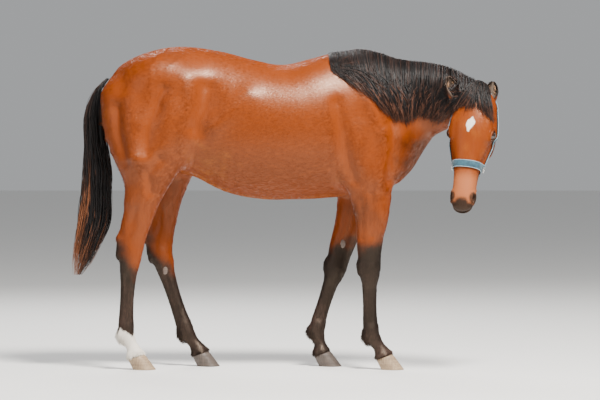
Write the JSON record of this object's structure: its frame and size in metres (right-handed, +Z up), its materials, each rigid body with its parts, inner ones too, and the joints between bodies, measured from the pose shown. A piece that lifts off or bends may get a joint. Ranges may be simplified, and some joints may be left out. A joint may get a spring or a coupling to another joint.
{
  "type": "horse",
  "caption": "Life-size bay young horse standing still, head turned to its right and lowered, black mane and tail, wearing a padded headcollar.",
  "frame": {"origin": "on the floor, under the middle of the bounding box", "axes": "+X towards the horse's front, +Y to its left, +Z up"},
  "size_m": [1.8986, 0.6383, 1.4563],
  "materials": {
    "coat": "short glossy bay fur",
    "coat_points": "short black fur of the lower legs",
    "horn": "hoof horn, satin",
    "hair": "long black hair",
    "eye": "wet dark brown eye",
    "webbing": "blue-grey padded webbing with a light edge",
    "hardware": "nickel-plated ring"
  },
  "bodies": {
    "root": {"trunk": "coat", "neck": "coat", "head": "coat", "forearm_right": "coat", "forearm_left": "coat", "thigh_right": "coat", "thigh_left": "coat", "foreleg_right": "coat_points", "foreleg_left": "coat_points", "hindleg_right": "coat_points", "hindleg_left": "coat_points", "hoof_fore_right": "horn", "hoof_fore_left": "horn", "hoof_hind_right": "horn", "hoof_hind_left": "horn", "ear_right": "coat", "ear_left": "coat", "eye_right": "eye", "eye_left": "eye", "mane": "hair", "forelock": "hair", "tail": "hair", "halter_noseband": "webbing", "halter_cheek_right": "webbing", "halter_cheek_left": "webbing", "halter_crown": "webbing", "halter_throat": "webbing", "halter_ring_right": "hardware", "halter_ring_left": "hardware"}
  },
  "joints": []
}
